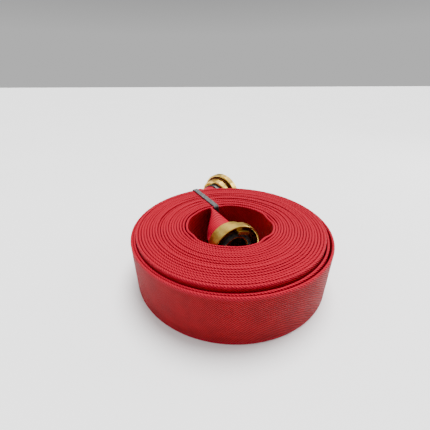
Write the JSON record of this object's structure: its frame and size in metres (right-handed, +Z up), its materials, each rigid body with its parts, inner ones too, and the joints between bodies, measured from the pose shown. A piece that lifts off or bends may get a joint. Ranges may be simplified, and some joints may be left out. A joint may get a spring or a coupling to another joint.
{
  "type": "rolled fire hose",
  "caption": "Flat fire hose wound into a roll and held by a tie, with a swivelling claw coupling on its outer end and another in the roll's hole.",
  "frame": {"origin": "centre of the bounding box on the floor plane that the roll lies on", "axes": "+Z up along the roll's axis; +Y from the roll towards the outer coupling; +X to the right"},
  "size_m": [0.3276, 0.4158, 0.0946],
  "materials": {
    "hose_jacket": "red woven twill jacket",
    "tie": "matt dark grey",
    "coupling_brass": "machined and tumbled brass",
    "rubber": "matt black rubber",
    "steel": "drawn steel wire"
  },
  "bodies": {
    "root": {"hose_roll": "hose_jacket", "cable_tie": "tie", "hose_outer_end": "hose_jacket", "hose_inner_end": "hose_jacket", "outer_tailpiece": "coupling_brass", "outer_face_seal": "rubber", "outer_snap_ring": "steel", "outer_wire_binding": "steel", "outer_hose_lining": "rubber", "inner_tailpiece": "coupling_brass", "inner_face_seal": "rubber", "inner_snap_ring": "steel", "inner_wire_binding": "steel", "inner_hose_lining": "rubber"},
    "outer_swivel": {"outer_claw_ring": "coupling_brass"},
    "inner_swivel": {"inner_claw_ring": "coupling_brass"}
  },
  "joints": [
    {"name": "outer_ring_turn", "type": "hinge", "parent": "root", "child": "outer_swivel", "pos_m": [-0.02949, 0.16598, 0.04678], "axis": [0.594, 0.8028, 0.0523], "continuous": true},
    {"name": "inner_ring_turn", "type": "hinge", "parent": "root", "child": "inner_swivel", "pos_m": [0.00332, -0.0487, 0.04705], "axis": [0.521, -0.8536, 0], "continuous": true}
  ]
}
